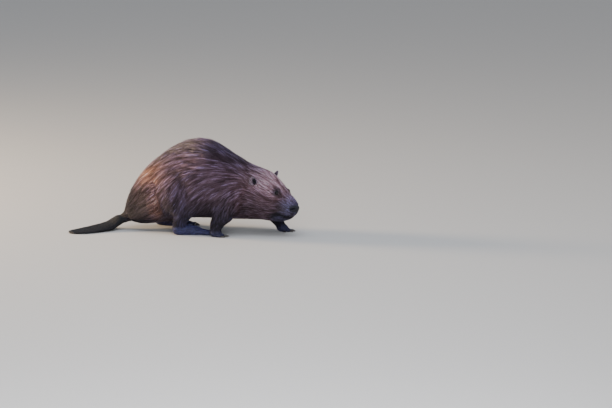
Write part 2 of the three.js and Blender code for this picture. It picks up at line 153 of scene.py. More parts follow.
def times(tree, a, b):
    return addNode(tree, "ShaderNodeMath", {"operation": "MULTIPLY"}, i0=a, i1=b)


def scaled(tree, colour, factor):
    return addNode(tree, "ShaderNodeVectorMath", {"operation": "SCALE"}, i0=colour, Scale=factor)


def blended(tree, factor, a, b):
    return addNode(tree, "ShaderNodeMix", {"data_type": "FLOAT"}, i0=factor, i2=a, i3=b)


def ownPlace(tree):
    return addNode(tree, "ShaderNodeTexCoord").node.outputs["Object"]


def noise(tree, scale, detail):
    return addNode(tree, "ShaderNodeTexNoise", None, Vector=ownPlace(tree), Scale=scale, Detail=detail,
                   Roughness=0.55)


def patchy(tree, scale, detail, low, high):
    return mapped(tree, noise(tree, scale, detail), 0.3, 0.7, low, high)


def bumped(tree, strength, distance, height):
    return addNode(tree, "ShaderNodeBump", None, Strength=strength, Distance=distance, Height=height)


def ramped(tree, value, first, last, between):
    # a colour ramp from the first stop to the last one; every stop is a place and a colour
    ramp = addNode(tree, "ShaderNodeValToRGB", None, Fac=value)
    stops = ramp.node.color_ramp.elements
    stops[0].position, stops[0].color = first
    stops[1].position, stops[1].color = last
    for position, colour in between:
        stops.new(position).color = colour
    return ramp


def furMaterial():
    # dark brown locks, warm ones and pale grey ones, whose pale bluish grey is a painted highlight of blue
    # sky; darker at the roots, painted shade deep in the coat, and paler towards the tips, painted sheen
    material, tree, surface = sheet("guardHair")
    # the ramp's pale bluish top stop is a painted sky highlight
    shade = ramped(tree, attribute(tree, "shade"),
                   (0.12, (0.28, 0.18, 0.15, 1)), (0.92, (2.55, 2.5, 2.95, 1)),
                   ((0.45, (0.92, 0.73, 0.66, 1)), (0.68, (1.38, 1.19, 1.18, 1))))
    # dark roots are painted shade deep in the coat, pale tips are painted sheen
    rise = mapped(tree, attribute(tree, "along"), 0, 1, 0.45, 1.6)
    tint = addNode(tree, "ShaderNodeVectorMath", {"operation": "MULTIPLY"},
                   i0=attribute(tree, "tint", "Color"), i1=shade)
    held = addNode(tree, "ShaderNodeVectorMath", {"operation": "MINIMUM"},
                   i0=scaled(tree, tint, rise), i1=(0.85, 0.85, 0.85))
    setInputs(tree, surface, {"Base Color": held, "Roughness": 0.46, "Specular IOR Level": 0.3,
                              "Sheen Weight": 0.08, "Sheen Roughness": 0.4,
                              "Sheen Tint": (0.8, 0.82, 1.0, 1)})
    return material


def skinMaterial():
    # the tint under the coat is its under fur, darkened with painted shade deep in the coat; where bare is
    # 1 it is naked skin with fine scales, darker in their grooves with painted shade
    material, tree, surface = sheet("skinAndUnderFur")
    bare = attribute(tree, "bare")
    uneven = times(tree, patchy(tree, 60, 3, 0.8, 1.2), patchy(tree, 900, 2, 0.82, 1.18))
    cells = addNode(tree, "ShaderNodeTexVoronoi", {"feature": "DISTANCE_TO_EDGE"},
                    Vector=ownPlace(tree), Scale=950)
    # the bare skin is darker in the grooves between its scales: painted shade
    groove = mapped(tree, cells, 0.0, 0.12, 0.0, 1.0)
    scaly = blended(tree, bare, 1.0, mapped(tree, groove, 0, 1, 0.7, 1.05))
    colour = scaled(tree, attribute(tree, "tint", "Color"), times(tree, uneven, scaly))
    height = blended(tree, bare, noise(tree, 700, 4), groove)
    setInputs(tree, surface, {"Base Color": colour, "Specular IOR Level": 0.3,
                              "Roughness": blended(tree, attribute(tree, "wet"), 0.72, 0.4),
                              "Normal": bumped(tree, 0.5, 0.0004, height)})
    return material


def scaleMaterial():
    material, tree, surface = sheet("tailScale")
    shade = mapped(tree, attribute(tree, "shade"), 0, 1, 0.6, 1.3)
    worn = times(tree, shade, patchy(tree, 1400, 3, 0.8, 1.2))
    setInputs(tree, surface, {"Base Color": scaled(tree, attribute(tree, "tint", "Color"), worn),
                              "Roughness": patchy(tree, 500, 2, 0.42, 0.62), "Specular IOR Level": 0.16,
                              "Normal": bumped(tree, 0.35, 0.0003, noise(tree, 1800, 3))})
    return material


def hornMaterial():
    material, tree, surface = sheet("clawHorn")
    grain = patchy(tree, 900, 4, 0, 1)
    body = addNode(tree, "ShaderNodeMix", {"data_type": "RGBA"}, i0=attribute(tree, "along"),
                   i6=(0.012, 0.010, 0.009, 1), i7=(0.075, 0.055, 0.04, 1)).node.outputs[2]
    setInputs(tree, surface, {"Base Color": scaled(tree, body, mapped(tree, grain, 0, 1, 0.7, 1.3)),
                              "Roughness": 0.34, "Normal": bumped(tree, 0.25, 0.0003, grain)})
    return material


def eyeMaterial():
    # black pupil, dark brown iris, darker rim, by the distance from the eye's own axis
    material, tree, surface = sheet("eyeGlass")
    colour = ramped(tree, attribute(tree, "ring"), (0.3, (0.002, 0.002, 0.002, 1)),
                    (0.38, (0.012, 0.006, 0.004, 1)),
                    ((0.66, (0.008, 0.004, 0.003, 1)), (0.8, (0.002, 0.0015, 0.0015, 1))))
    setInputs(tree, surface, {"Base Color": colour, "Roughness": 0.08, "Specular IOR Level": 0.3})
    return material


def floorMaterial():
    material, tree, surface = sheet("paleFloor")
    setInputs(tree, surface, {"Base Color": (0.62, 0.6, 0.56, 1), "Roughness": 0.8})
    return material


def newObject(name, mesh, material, slot=None):
    piece = bpy.data.objects.new(name, mesh)
    bpy.context.scene.collection.objects.link(piece)
    mesh.materials.clear()
    mesh.materials.append(material)
    mesh.polygons.foreach_set("use_smooth", np.ones(len(mesh.polygons), bool))
    if slot:
        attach(piece, "root")
    return piece


def meshFrom(shape, name):
    mesh = bpy.data.meshes.new(name)
    shape.to_mesh(mesh)
    shape.free()
    return mesh


def places(mesh):
    flat = np.empty(len(mesh.vertices) * 3, np.float32)
    mesh.vertices.foreach_get("co", flat)
    return flat.reshape(-1, 3).astype(float)


def setPlaces(mesh, co):
    mesh.vertices.foreach_set("co", co.astype(np.float32).ravel())
    mesh.update()


def edgesOf(mesh):
    flat = np.empty(len(mesh.edges) * 2, np.int32)
    mesh.edges.foreach_get("vertices", flat)
    return flat.reshape(-1, 2)


def trianglesOf(mesh):
    mesh.calc_loop_triangles()
    flat = np.empty(len(mesh.loop_triangles) * 3, np.int32)
    mesh.loop_triangles.foreach_get("vertices", flat)
    return flat.reshape(-1, 3)


def unit(vectors):
    return vectors / np.maximum(np.linalg.norm(vectors, axis=-1, keepdims=True), 1e-12)


def normalsOf(co, triangles):
    a, b, c = (co[triangles[:, k]] for k in range(3))
    face = np.cross(b - a, c - a)
    normal = np.zeros_like(co)
    for axis in range(3):
        for corner in range(3):
            normal[:, axis] += np.bincount(triangles[:, corner], face[:, axis], len(co))
    return unit(normal)


def spread(values, edges, pull, rounds):
    # every value moves towards the mean of its neighbours by its own share, again and again
    flat = values.reshape(len(values), -1).copy()
    share = np.broadcast_to(pull, len(flat))
    moving = share != 0
    a, b = edges[moving[edges[:, 0]] | moving[edges[:, 1]]].T
    count = np.bincount(a, minlength=len(flat)) + np.bincount(b, minlength=len(flat))
    for n in range(rounds):
        for k in range(flat.shape[1]):
            column = flat[:, k]
            total = np.bincount(a, column[b], len(flat)) + np.bincount(b, column[a], len(flat))
            flat[:, k] += share * (total / np.maximum(count, 1) - column)
    return flat.reshape(values.shape)


def setAttribute(mesh, name, values):
    values = np.asarray(values, np.float32)
    kind = "FLOAT" if values.ndim == 1 else "FLOAT_COLOR"
    layer = mesh.attributes.new(name, kind, "POINT")
    if kind == "FLOAT_COLOR":
        values = np.concatenate([values, np.ones((len(values), 1), np.float32)], 1)
    layer.data.foreach_set("value" if kind == "FLOAT" else "color", values.ravel())


def linear(red, green, blue):
    return tuple(((v / 255 + 0.055) / 1.055) ** 2.4 for v in (red, green, blue))


def ripple(co, size, seed):
    # smooth noise from about -1 to 1, as a sum of waves in random directions
    waves = np.random.default_rng(seed)
    total = np.zeros(len(co))
    for n in range(10):
        direction = unit(waves.normal(size=3)) * 2 * math.pi / size * waves.uniform(0.6, 1.5)
        total += np.sin(co @ direction + waves.uniform(0, 6.28))
    return total / 4.5


# Each sub-part's coat: depth of the coat over the skin and length of a tuft in mm, width of a tuft in mm,
# tufts to the square centimetre, how far the tufts gather into locks, the way they lie, which is back,
# outwards from the middle and up, and their tint as red, green and blue from 0 to 255. The tints are brown
# with a painted bluish cast of sky light, strongest on the feet, legs, muzzle and jaw.
coatColumns = ("depth", "length", "width", "crowd", "lock", "lie", "tint")
coatRows = {
    "tail_base": (11, 30, 1.0, 30, 0.6, (1, 0, -0.7), (96, 84, 96)),
    "rump": (15, 38, 1.05, 30, 0.62, (1, 0, -0.55), (104, 90, 100)),
    "trunk": (16, 38, 1.05, 30, 0.58, (1, 0, -0.08), (102, 90, 108)),
    "shoulders": (14, 34, 1.0, 33, 0.58, (1, 0, 0.2), (96, 82, 98)),
    "neck": (12, 28, 0.9, 38, 0.5, (1, 0, 0.3), (98, 84, 98)),
    "head": (7.5, 16, 0.55, 88, 0.5, (1, 0.1, -0.2), (110, 92, 102)),
    "muzzle": (2.2, 5.5, 0.42, 170, 0.1, (1, 0.15, -0.2), (100, 98, 122)),
    "lower_jaw": (3.2, 7, 0.5, 120, 0.15, (1, 0.1, -0.3), (74, 74, 96)),
    "nose": (0.3, 1, 0.4, 0, 0, (1, 0, 0), (34, 32, 40)),
    "ear": (0.7, 3.2, 0.42, 150, 0.1, (0.2, 0.25, 1), (78, 66, 68)),
    "thigh": (12, 30, 0.95, 33, 0.58, (0.55, 0, -1), (78, 72, 94)),
    "shank": (5.5, 14, 0.75, 50, 0.3, (0.1, 0, -1), (66, 64, 92)),
    "upper_arm": (10, 26, 0.9, 38, 0.55, (0.6, 0, -1), (84, 74, 90)),
    "forearm": (4, 11, 0.65, 64, 0.3, (0.1, 0, -1), (60, 56, 74)),
    "hind_foot": (0.6, 5, 0.6, 26, 0.1, (-1, 0, -0.3), (51, 52, 82)),
    "fore_foot": (0.6, 4, 0.5, 60, 0.1, (-1, 0, -0.3), (47, 48, 70)),
    "tail": (0.7, 6, 0.6, 0, 0, (1, 0, 0), (22, 22, 25)),
}
coat = {part: dict(zip(coatColumns, row)) for part, row in coatRows.items()}
sidedParts = ("ear", "thigh", "shank", "upper_arm", "forearm", "hind_foot", "fore_foot")
bodyParts = ("tail_base", "rump", "trunk", "shoulders", "neck", "thigh", "upper_arm")
headParts = ("head", "muzzle", "lower_jaw", "nose", "ear")
nakedParts = ("hind_foot", "fore_foot", "tail")
thinParts = (*nakedParts, "nose", "ear")
flesh = {}  # node name to its row of the coat table
for part in coat:
    for name in [f"{part}_{side}" for side in sides] if part in sidedParts else [part]:
        flesh[name] = part

headTurn = {"yaw": 21, "pitch": 22}  # degrees to the right and down, as the solids have it
yaw, pitch = math.radians(headTurn["yaw"]), math.radians(headTurn["pitch"])
headForward = Vector((math.cos(yaw) * math.cos(pitch), -math.sin(yaw) * math.cos(pitch), -math.sin(pitch)))
headLeft = Vector((math.sin(yaw), math.cos(yaw), 0))
headUp = headForward.cross(headLeft)
headAxes = np.array([headForward, headLeft, headUp])
noseMiddle = boxMiddle("nose")
eyeRadius = (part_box("eye_right")[1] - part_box("eye_right")[0]).z / 2


def onHead(co):
    # places on the head as forward, left and up from the middle of the nose pad
    return (co - np.array(noseMiddle)) @ headAxes.T


def fromEyes(co):
    # mm to the middle of the nearer eye
    middles = [np.array(boxMiddle(f"eye_{side}")) for side in sides]
    return np.min([np.linalg.norm(co - middle, axis=1) for middle in middles], 0) / mm


skinSettings = {
    "voxel": 1.7 * mm,
    "seam": 0.45 * mm,  # each solid is this much fatter, so that the cuts between them close
    "faces": 165000,
    "rounding": 150,  # times that the fused solids are smoothed
    "lidCoat": 1.6,  # mm of coat at the lids
    "eyeReach": (16, 11),  # mm round an eye within which the faces are halved, and halved again
    "lowest": 0.2 * mm,
    "faceEnds": -95 * mm,  # behind the nose
    "thinRounding": 14,
    # how strongly each part is rounded off, where it isn't by a half
    "calm": {"ear": 0, "hind_foot": 0, "fore_foot": 0, "tail": 0.02, "nose": 0.1, "muzzle": 0.3,
             "lower_jaw": 0.3, "forearm": 0.42, "shank": 0.3},
}


def solidsTogether(names, grow):
    # one mesh of these solids, and for each of its faces the name of the solid
    body = bmesh.new()
    owner = []
    for name in names:
        body.from_mesh(nodes[name].data)
        owner += [name] * (len(body.faces) - len(owner))
    bmesh.ops.remove_doubles(body, verts=body.verts, dist=1e-6)
    body.normal_update()
    if grow:
        for vertex in body.verts:
            vertex.co += vertex.normal * grow
    return body, owner


def nearest(tree, points):
    # for each point the nearest place on the tree's faces, its face, and how far away it is
    hits = [tree.find_nearest(point) for point in points.tolist()]
    place = np.array([hit[0][:] for hit in hits])
    return place, np.array([hit[2] for hit in hits]), np.array([hit[3] for hit in hits])


def applied(piece):
    # the mesh with the object's modifiers on it, and the object without them
    mesh = bpy.data.meshes.new_from_object(piece.evaluated_get(bpy.context.evaluated_depsgraph_get()))
    piece.modifiers.clear()
    old = piece.data
    piece.data = mesh
    bpy.data.meshes.remove(old)
    return mesh


def column(parts, key):
    return np.array([coat[flesh[name]][key] for name in parts], float)


def gentle(t):
    t = np.clip(t, 0, 1)
    return t * t * (3 - 2 * t)


def hump(x, middle, width, power=2):
    # 1 at the middle, falling off softly past this width
    return np.exp(-(((x - middle) / width) ** power))


def raised(co, normal, height):
    # places moved outwards by this many mm
    return co + normal * (height * mm)[:, None]


def squareTo(axis, vectors):
    # what is left of each vector without its share along the axis
    return vectors - axis * (vectors * axis).sum(1)[:, None]


def nearLine(points, path):
    # distance from a row of flat points to a bent line
    best = np.full(len(points), 1e9)
    for a, b in zip(path[:-1], path[1:]):
        a, b = np.array(a, float), np.array(b, float)
        t = np.clip(((points - a) @ (b - a)) / ((b - a) @ (b - a)), 0, 1)
        best = np.minimum(best, np.linalg.norm(points - a - t[:, None] * (b - a), axis=1))
    return best


# Hollows of the hide, along lines given as shares of a limb's box, from its back and from its bottom.
folds = (
    {"node": "thigh", "line": ((-0.06, 0.68), (0.04, 0.38), (0.16, 0.02)), "width": 15, "depth": 10},
    {"node": "thigh", "line": ((0.56, 0.64), (0.68, 0.38), (0.68, 0.05)), "width": 15, "depth": 9},
    {"node": "upper_arm", "line": ((0.1, 0.6), (0.03, 0.3), (0.05, 0.0)), "width": 12, "depth": 6},
    {"node": "upper_arm", "line": ((0.98, 0.76), (0.84, 0.46), (0.9, 0.12)), "width": 11, "depth": 6},
)
mouth = {"line": ((-41, -42), (-36, -34), (-28, -29), (22, -23)), "width": 1.5, "depth": 2.4, "lip": 1.2}
nose = {"pad": (14, 29, 9.5), "nostrilAt": (0.5, 0.5), "nostril": (4.6, 2.6), "nostrilTurn": 35,
        "depth": 4.5, "rim": 1.1, "furrow": 0.8, "edge": 0.5, "cleft": 1.0}
ear = {"root": (-129, 53, 16), "tip": (-136, 69, 48), "half": 12, "curl": 2.0, "hollow": 3.0}
eyeLid = {"half": (5.9, 4.7), "lower": 0.86, "thick": 0.55, "reach": 15, "tilt": 22}


def eyeAxes(sign):
    out = (headLeft * sign * 0.86 + headForward * 0.34 + headUp * 0.38).normalized()
    ahead = (headForward - out * headForward.dot(out)).normalized()
    tilt = Matrix.Rotation(math.radians(eyeLid["tilt"]) * sign, 3, out)
    ahead = tilt @ ahead
    return np.array([out, ahead, out.cross(ahead) * sign])


def foldHide(co, normal):
    for side, sign in sides.items():
        for fold in folds:
            low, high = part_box(f"{fold['node']}_{side}")
            line = [(low.x + (high.x - low.x) * x, low.z + (high.z - low.z) * z) for x, z in fold["line"]]
            away = nearLine(co[:, [0, 2]], line) / mm
            facing = gentle((normal[:, 1] * sign - 0.25) / 0.4)
            co = raised(co, normal, -fold["depth"] * hump(away, 0, fold["width"]) * facing)
    return co


def carveEyes(co):
    # socket and lids: inside the opening the skin drops behind the ball, round it lies on the ball
    for side, sign in sides.items():
        centre = np.array(boxMiddle(f"eye_{side}"))
        local = (co - centre) @ eyeAxes(sign).T / mm
        near = (local[:, 0] > -4) & (np.linalg.norm(local, axis=1) < eyeLid["reach"] + 6)
        out, u, w = local[near].T
        upper = w > 0
        wide, tall = eyeLid["half"]
        oval = np.hypot(u / wide, w / np.where(upper, tall, tall * eyeLid["lower"]))
        flat = np.hypot(u, w)
        radius = eyeRadius / mm
        ball = np.sqrt(np.maximum(radius**2 - flat**2, 0))
        edge = flat / np.maximum(oval, 1e-6)
        rim = np.sqrt(np.maximum(radius**2 - edge**2, 0)) + eyeLid["thick"] * (1 + 0.35 * upper)
        blend = gentle((oval - 1.0) / 1.0)
        lid = rim * (1 - blend) + out * blend
        fold = 0.55 * hump(oval, 1.6, 0.14) * (0.5 + 0.5 * upper)
        inside = gentle((1.03 - oval) / 0.14)
        height = (lid - fold) * (1 - inside) + (ball - 2.6) * inside
        reach = 1 - gentle((flat - eyeLid["reach"] * 0.62) / (eyeLid["reach"] * 0.38))
        local[near, 0] = out + (height - out) * reach
        co[near] = centre + local[near] * mm @ eyeAxes(sign)
    return co


def carveMouth(co, normal):
    at = onHead(co) / mm
    flat = at[:, [0, 2]]
    away = nearLine(flat, mouth["line"])
    onFace = (at[:, 0] > -46) & (at[:, 0] < 22) & (at[:, 2] < -14)
    outward = np.abs(normal @ headAxes[2]) < 0.93
    groove = hump(away, 0, mouth["width"]) * onFace * outward
    above = at[:, 2] - np.interp(at[:, 0], *np.array(mouth["line"]).T)
    lip = hump(above, 5.5, 4.5) * onFace * gentle((at[:, 0] + 40) / 20)
    co = raised(co, normal, mouth["lip"] * lip - mouth["depth"] * groove)
    cleft = hump(at[:, 1], 0, 1.3) * (at[:, 0] > -4) * gentle((-9 - at[:, 2]) / 4) * (at[:, 2] > -24)
    return raised(co, normal, -nose["cleft"] * cleft)


def carveNose(co, normal):
    at = onHead(co) / mm
    for sign in sides.values():
        ahead = at[:, 0] - nose["nostrilAt"][0]
        up = at[:, 2] - nose["nostrilAt"][1]
        turn = math.radians(nose["nostrilTurn"])
        long = ahead * math.cos(turn) + up * math.sin(turn)
        wide = -ahead * math.sin(turn) + up * math.cos(turn) + 0.12 * long**2 / nose["nostril"][0]
        oval = np.hypot(long / nose["nostril"][0], wide / nose["nostril"][1])
        facing = gentle((at[:, 1] * sign - 6) / 5)
        pit = hump(oval, 0, 1, 4) * facing
        rim = hump(oval, 1.55, 0.45) * facing
        co = raised(co, normal, nose["rim"] * rim - nose["depth"] * pit)
    edge = hump(onPad(at), 1.05, 0.12)
    furrow = hump(at[:, 1], 0, 1) * gentle((at[:, 0] - 5) / 4) * (np.abs(at[:, 2]) < 14)
    return raised(co, normal, -(nose["furrow"] * furrow + nose["edge"] * edge))


def earLeaf(at):
    # how far a place belongs to an ear, its height and its width on the leaf, 1 at the front rim and -1 at
    # the back one, and the way out of it
    share, tall, broad = np.zeros((3, len(at)))
    face = np.zeros((len(at), 3))
    for sign in sides.values():
        flip = np.array([1, sign, 1])
        root, tip = np.array(ear["root"]) * flip, np.array(ear["tip"]) * flip
        axis = unit(tip - root)
        across = unit(np.cross(axis, np.array([0.45, sign * 0.89, 0])))
        out = np.cross(across, axis)
        local = at - root
        t = local @ axis / np.linalg.norm(tip - root)
        b = local @ across * -sign / ear["half"]
        here = (gentle((t - 0.02) / 0.3) * gentle((1.5 - np.abs(b)) / 0.3)
                * gentle((11 - np.abs(local @ out)) / 3) * (t < 1.4))
        nearer = here > share
        share[nearer], tall[nearer], broad[nearer], face[nearer] = here[nearer], t[nearer], b[nearer], out
    return share, tall, broad, face


def cupEars(co, triangles, edges):
    # the leaf of the ear curls forward along its rim and is hollow in front, with a fold at its lower edge
    share, tall, broad, face = earLeaf(onHead(co) / mm)
    co = spread(co, edges, share * 0.5, 5)
    for n in range(45):
        co = spread(co, edges, share * 0.6, 1)
        co = spread(co, edges, share * -0.62, 1)
    front = gentle(((normalsOf(co, triangles) @ headAxes.T) * face).sum(1) / 0.5)
    away = np.hypot(broad, (tall - 0.5) / 0.5)
    hollow = ear["hollow"] * (1 - gentle((away - 0.15) / 0.75)) * front
    curl = ear["curl"] * np.minimum(broad**2, 1.3) + ear["curl"] * 0.5 * gentle((tall - 0.7) / 0.4)
    fold = 1.3 * front * hump(broad, 0.3, 0.16) * hump(tall, 0.3, 0.2)
    return co + (share * (curl - hollow + fold))[:, None] * mm * (face @ headAxes)


def onPad(at):
    # 1 at the edge of the bare nose pad, less inside it
    return np.linalg.norm((at - np.array([2, 0, 0])) / np.array(nose["pad"]), axis=1)


def refine(mesh, chosen, cuts):
    # cuts the edges between chosen vertices into equal lengths
    shape = bmesh.new()
    shape.from_mesh(mesh)
    shape.verts.ensure_lookup_table()
    chosen = set(np.nonzero(chosen)[0].tolist())
    edges = [e for e in shape.edges if e.verts[0].index in chosen and e.verts[1].index in chosen]
    bmesh.ops.subdivide_edges(shape, edges=edges, cuts=cuts, use_grid_fill=True, smooth=0)
    bmesh.ops.triangulate(shape, faces=[f for f in shape.faces if len(f.verts) > 4])
    shape.to_mesh(mesh)
    shape.free()
    mesh.update()


def fuseFlesh():
    # one closed skin round all the solids of flesh, and for each of its vertices the solid nearest to it
    cad, owner = solidsTogether(list(flesh), 0)
    cad.faces.ensure_lookup_table()
    cadTree = BVHTree.FromBMesh(cad)
    body = solidsTogether([*flesh, "eye_right", "eye_left"], skinSettings["seam"])[0]
    skin = newObject("skin", meshFrom(body, "skin"), skinMaterial(), "fur")
    remesh = skin.modifiers.new("fuse", "REMESH")
    remesh.mode = "VOXEL"
    remesh.voxel_size = skinSettings["voxel"]
    co = places(applied(skin))
    print("skin fused:", len(co), "vertices")
    return skin, np.array(owner)[nearest(cadTree, co)[1]]


def roundOff(co, edges, parts):
    # the body and limbs run into each other, and the thin parts lose their facets but keep their thickness
    kinds = [flesh[part] for part in parts]
    calm = np.array([skinSettings["calm"].get(kind, 0.5) for kind in kinds])
    co = spread(co, edges, spread(calm, edges, 0.5, 4), skinSettings["rounding"])
    thin = np.isin(kinds, thinParts)
    for n in range(skinSettings["thinRounding"]):
        co = spread(co, edges, thin * 0.42, 1)
        co = spread(co, edges, thin * -0.44, 1)
    return co, thin


def drawIn(co, edges, triangles, parts, thin):
    # the skin lies under the outline by the depth of the coat, with the hollows and unevenness of the hide
    ownDepth = column(parts, "depth")
    depth = spread(ownDepth, edges, 0.5, 70)
    depth[thin] = np.minimum(depth, ownDepth)[thin]
    depth = spread(depth, edges, 0.5, 6)
    normal = unit(spread(normalsOf(co, triangles), edges, 0.5, 12))
    full = gentle((fromEyes(co) - 5) / 16)  # the coat thins out at the lids
    depth = depth * full + skinSettings["lidCoat"] * (1 - full)
    co = foldHide(raised(co, normal, -depth), normal)
    uneven = (depth > 5) * (ripple(co, 0.11, 3) * 1.6 + ripple(co, 0.05, 4) * 0.7 - 1.5)
    return spread(raised(co, normal, uneven), edges, np.where(thin, 0.0, 0.4), 12)


def refineFace(mesh):
    # finer faces round the eyes, in the ears, along the mouth and on the nose
    for reach in skinSettings["eyeReach"]:
        refine(mesh, fromEyes(places(mesh)) < reach, 1)
    refine(mesh, earLeaf(onHead(places(mesh)) / mm)[0] > 0.02, 1)
    at = onHead(places(mesh)) / mm
    line = (nearLine(at[:, [0, 2]], mouth["line"]) < 5) & (at[:, 0] > -48)
    refine(mesh, line | (np.linalg.norm(at - np.array([2, 0, 0]), axis=1) < 22), 1)


def carveFace(mesh):
    co = places(mesh)
    co = carveMouth(co, normalsOf(co, trianglesOf(mesh)))
    co = carveNose(co, normalsOf(co, trianglesOf(mesh)))
    co = carveEyes(co)
    co = cupEars(co, trianglesOf(mesh), edgesOf(mesh))
    co[:, 2] = np.maximum(co[:, 2], skinSettings["lowest"])
    setPlaces(mesh, co)


def thinOut(skin, parts):
    # the body's skin, which the coat hides, is made coarser, and the face and feet keep their faces
    rear = onHead(places(skin.data))[:, 0] < skinSettings["faceEnds"]
    hidden = np.isin([flesh[part] for part in parts], bodyParts) | (rear & np.isin(parts, ["head"]))
    group = skin.vertex_groups.new(name="hidden")
    group.add(np.nonzero(hidden)[0].tolist(), 1.0, "REPLACE")
    count = len(trianglesOf(skin.data))
    thinner = skin.modifiers.new("thinner", "DECIMATE")
    thinner.ratio = min(1.0, skinSettings["faces"] / count)
    thinner.vertex_group = "hidden"
    thinner.use_collapse_triangulate = True
    applied(skin)
    skin.vertex_groups.clear()
    print("skin faces:", count, "to", len(skin.data.polygons))


def makeSkin():
    # also gives the outline of the coat's tips, and the solid that each of its faces belongs to
    skin, parts = fuseFlesh()
    mesh = skin.data
    edges, triangles = edgesOf(mesh), trianglesOf(mesh)
    co, thin = roundOff(places(mesh), edges, parts)
    outline = BVHTree.FromPolygons(co.tolist(), triangles.tolist())
    outlineParts = parts[triangles[:, 0]]
    setPlaces(mesh, drawIn(co, edges, triangles, parts, thin))
    print("skin shaped")
    refineFace(mesh)
    carveFace(mesh)
    print("face carved")
    thinOut(skin, outlineParts[nearest(outline, places(mesh))[1]])
    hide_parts(*flesh)
    return skin, outline, outlineParts


def lieOfCoat(co, normal, edges, parts, kind, onHeadPart):
    # the way that the tips point, along the skin, turned a little from place to place
    outward = np.where(np.char.endswith(parts.astype(str), "_right"), -1.0, 1.0)
    outward = np.where(np.isin(kind, sidedParts), outward, np.sign(co[:, 1] - bodyMiddle.y))
    outward = np.where(onHeadPart, np.sign(onHead(co)[:, 1]), outward)
    lie = np.array([coat[k]["lie"] for k in kind])
    bodyLie = np.stack([-lie[:, 0], lie[:, 1] * outward, lie[:, 2]], 1)
    lie = unit(np.where(onHeadPart[:, None], bodyLie @ headAxes, bodyLie))
    lie = spread(lie, edges, 0.5, coatSettings["soften"]["lie"])
    lie = unit(squareTo(normal, lie))
    turn = ripple(co, 0.07, 5) * 0.16 + ripple(co, 0.025, 6) * 0.1
    return unit(lie + np.cross(normal, lie) * turn[:, None])


def growFields(skin, outline, outlineParts):
    # what the coat needs to know at each vertex of the skin
    mesh = skin.data
    co = places(mesh)
    triangles = trianglesOf(mesh)
    edges = edgesOf(mesh)
    normal = unit(spread(normalsOf(co, triangles), edges, 0.5, 3))
    _, face, room = nearest(outline, co)
    parts = outlineParts[face]
    kind = np.array([flesh[p] for p in parts])
    room += np.isin(kind, bodyParts) * coatSettings["proud"] * mm
    field = {key: column(parts, key) for key in ("length", "width", "crowd", "lock")}
    tint = np.array([linear(*coat[k]["tint"]) for k in kind])
    onHeadPart = np.isin(kind, headParts)
    lie = lieOfCoat(co, normal, edges, parts, kind, onHeadPart)
    firm = np.isin(kind, thinParts)
    soften = coatSettings["soften"]
    for key in field:
        field[key] = spread(field[key], edges, np.where(firm, 0.1, 0.5), soften["sizes"])
    tint = spread(tint, edges, np.where(firm, 0.15, 0.5), soften["tint"])
    cap = spread(column(parts, "depth"), edges, 0.5, soften["cap"]) * 1.08 + 1.2
    room = np.minimum(spread(room, edges, 0.5, soften["room"]), cap * mm)
    at = onHead(co) / mm
    pad = gentle((1.08 - onPad(at)) / 0.12) * onHeadPart
    lids = gentle((9.5 - fromEyes(co)) / 2.5)
    away = nearLine(at[:, [0, 2]], mouth["line"])
    onLips = (at[:, 0] > -44) * (at[:, 0] < 20) * onHeadPart
    # painted shade along the mouth line
    lips = hump(away, 0, 5, 4) * onLips
    field["crowd"] *= (1 - pad) * (1 - lids) * (1 - 0.95 * hump(away, 0, 3.4) * onLips)
    tint = markings(co, normal, tint, kind, lids)
    tint = dyed(tint, marks["lips"]["share"] * lips, marks["lips"]["tint"])
    tint = dyed(tint, pad, coat["nose"]["tint"])
    field.update(co=co, normal=normal, lie=lie, room=room, tint=tint, parts=parts, triangles=triangles)
    naked = np.isin(kind, nakedParts)
    bare = np.maximum(spread(naked.astype(float), edges, 0.5, 3), pad)
    wet = np.maximum(naked * 0.6, np.maximum(pad * 0.9, lids * 0.35))
    # the furry skin is darker: its under fur, and painted shade deep in the coat between the tufts
    dark = np.where(bare > 0.5, 1.0, 0.55)
    setAttribute(mesh, "tint", tint * dark[:, None])
    setAttribute(mesh, "bare", bare)
    setAttribute(mesh, "wet", spread(wet, edges, 0.5, 2))
    return field


# Marks of the coat, some of them painted light and shade: the belly, back, flank and rear, the sunlit
# rust, the mouth line and the ear's front. Heights on the body are in metres, middles and halves of marks
# in mm, or in shares of the ear's own leaf, and tints go from 0 to 255.
marks = {
    # darker towards the floor: painted shade under the body
    "belly": {"below": 0.03, "fade": 0.11, "darker": 0.42},
    # up-facing fur darker and bluer: painted shade and painted blue sky light
    "back": {"darker": (0.46, 0.44, 0.3)},
    # side-facing fur above the belly paler: painted light
    "flank": {"above": 0.09, "fade": 0.05, "paler": (0.6, 0.52, 0.5)},
    # lower rear of the rump darker: painted shade
    "rear": {"behind": -0.078, "below": 0.165, "darker": 0.68},
    "forehead": {"middle": -92, "half": 56, "share": 0.9, "tint": (196, 170, 188)},
    # a real reddish-brown rump with painted dappled sunlight over it, and a painted sunlit strip behind
    # the thigh
    "rustAndPaintedSun": {"middle": (-90, 186), "half": (44, 27), "right": 0.8, "left": 0.4, "tint": (214, 174, 146)},
    "rustAndPaintedSunBehindThigh": {"middle": (-70, 105), "half": (9, 36), "share": 0.9},
    "roundEye": {"middle": (3, -2.5), "half": (14, 9), "darker": 0.8},
    # the ear's pale front is painted light on its rim
    "ear": {"back": (66, 58, 66), "front": (158, 144, 160), "inside": (20, 17, 20), "share": 0.9},
    "inEar": {"middle": (0.3, 0.42), "half": (0.7, 0.48)},
    "lids": {"tint": (17, 14, 16)},
    # dark band along the mouth line: painted shade
    "lips": {"tint": (20, 17, 20), "share": 0.85},
}


def dyed(tint, share, colour):
    # the tint, drawn towards this colour by each place's own share
    return tint + share[:, None] * (np.array(linear(*colour)) - tint)


def fromMiddle(across, up, mark):
    # 0 in the middle of an oval mark and 1 along its edge
    a = (across - mark["middle"][0]) / mark["half"][0]
    b = (up - mark["middle"][1]) / mark["half"][1]
    return np.hypot(a, b)


